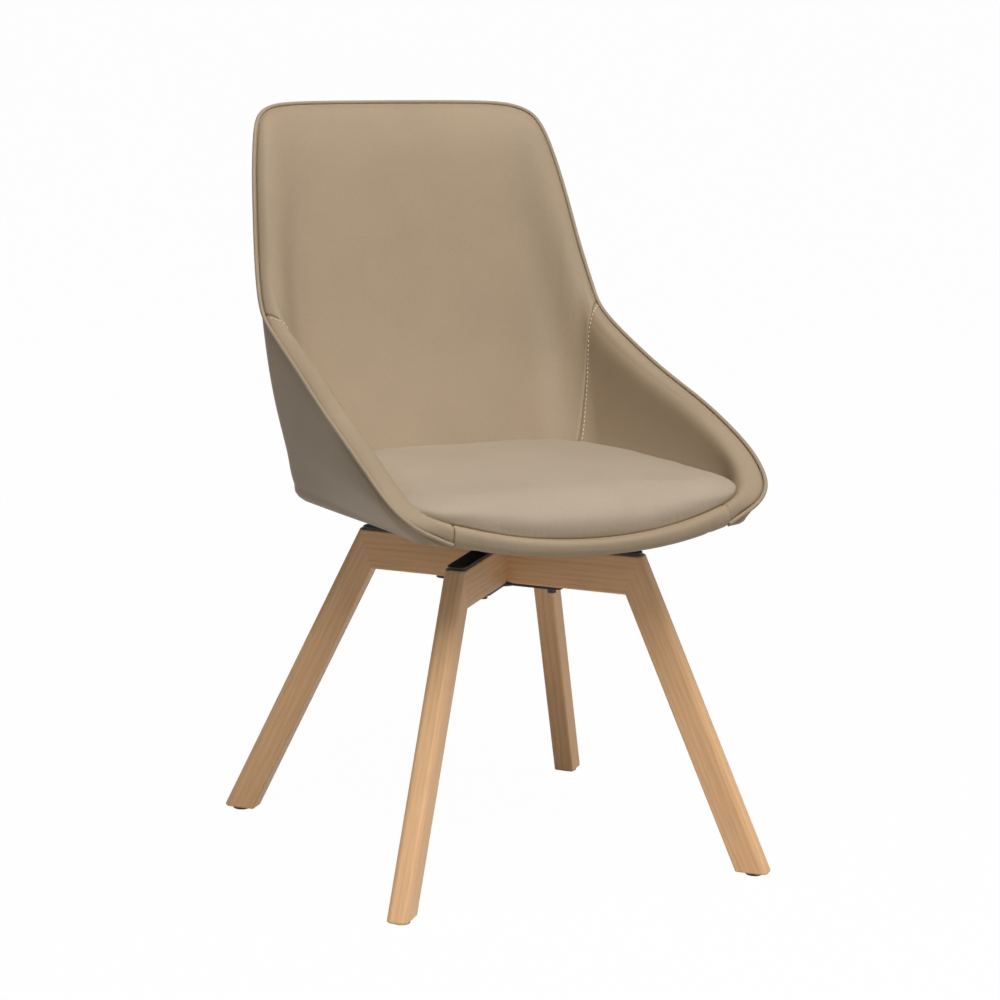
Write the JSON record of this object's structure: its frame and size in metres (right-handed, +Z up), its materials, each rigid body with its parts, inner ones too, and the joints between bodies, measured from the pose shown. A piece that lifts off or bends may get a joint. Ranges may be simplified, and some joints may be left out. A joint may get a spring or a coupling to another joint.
{
  "type": "swivel chair",
  "caption": "Leather bucket chair whose seat turns on a ball swivel over four splayed oak legs that meet in a halved cross frame.",
  "frame": {"origin": "on the floor, on the swivel axis, midway between the four feet", "axes": "+Z up along the swivel axis; the sitter faces -Y, so +X is at the sitter's left. Right in a node's name is as seen from the front, at +X"},
  "size_m": [0.4979, 0.591, 0.8635],
  "materials": {
    "oak": "oiled oak with open grain",
    "leather": "soft taupe leather with fine pebble grain",
    "cushion_leather": "soft taupe leather, creased at the seams",
    "piping_leather": "taupe leather sewn over a cord",
    "lining": "black dust cloth",
    "foam": "cut upholstery foam",
    "moulded_ply": "moulded beech plywood",
    "black_steel": "satin black powder coat",
    "zinc_steel": "blackened and zinc plated fasteners",
    "ball_steel": "hardened polished balls",
    "nylon": "black nylon"
  },
  "bodies": {
    "base": {"leg_front_right": "oak", "leg_rear_right": "oak", "leg_rear_left": "oak", "leg_front_left": "oak", "cross_rail_upper": "oak", "cross_rail_lower": "oak", "foot_glide_front_right": "nylon", "foot_glide_rear_right": "nylon", "foot_glide_rear_left": "nylon", "foot_glide_front_left": "nylon", "glide_screws": "zinc_steel", "plate_wood_screws": "zinc_steel", "frame_bolts": "zinc_steel", "frame_washers": "zinc_steel", "frame_nuts": "zinc_steel", "pivot_bolt": "zinc_steel", "pivot_nut": "zinc_steel", "top_cross_plate": "black_steel", "bottom_cross_plate": "black_steel", "swivel_lower_plate": "black_steel"},
    "ball_ring": {"swivel_balls": "ball_steel", "ball_cage": "nylon"},
    "seat": {"swivel_upper_plate": "black_steel", "pivot_bush": "nylon", "seat_bolts": "zinc_steel", "seat_tee_nuts": "zinc_steel", "seat_shell": "moulded_ply", "pan_foam": "foam", "back_foam": "foam", "arm_foam_right": "foam", "arm_foam_left": "foam", "underside_cover": "lining", "outer_back_cover": "leather", "front_band": "leather", "deck_cover": "leather", "inner_back_cover": "leather", "inner_arm_cover_right": "leather", "inner_arm_cover_left": "leather", "outer_side_cover_right": "leather", "outer_side_cover_left": "leather", "seat_cushion_foam": "foam", "seat_cushion_cover": "cushion_leather", "rim_piping": "piping_leather"}
  },
  "joints": [
    {"name": "seat_swivel", "type": "hinge", "parent": "base", "child": "seat", "pos_m": [0, 0, 0.385], "axis": [0, 0, 1], "continuous": true},
    {"name": "ball_ring_turn", "type": "hinge", "parent": "base", "child": "ball_ring", "pos_m": [0, 0, 0.385], "axis": [0, 0, 1], "continuous": true}
  ],
  "couplings": [
    {"joint": "ball_ring_turn", "follows": "seat_swivel", "ratio": 0.5}
  ]
}
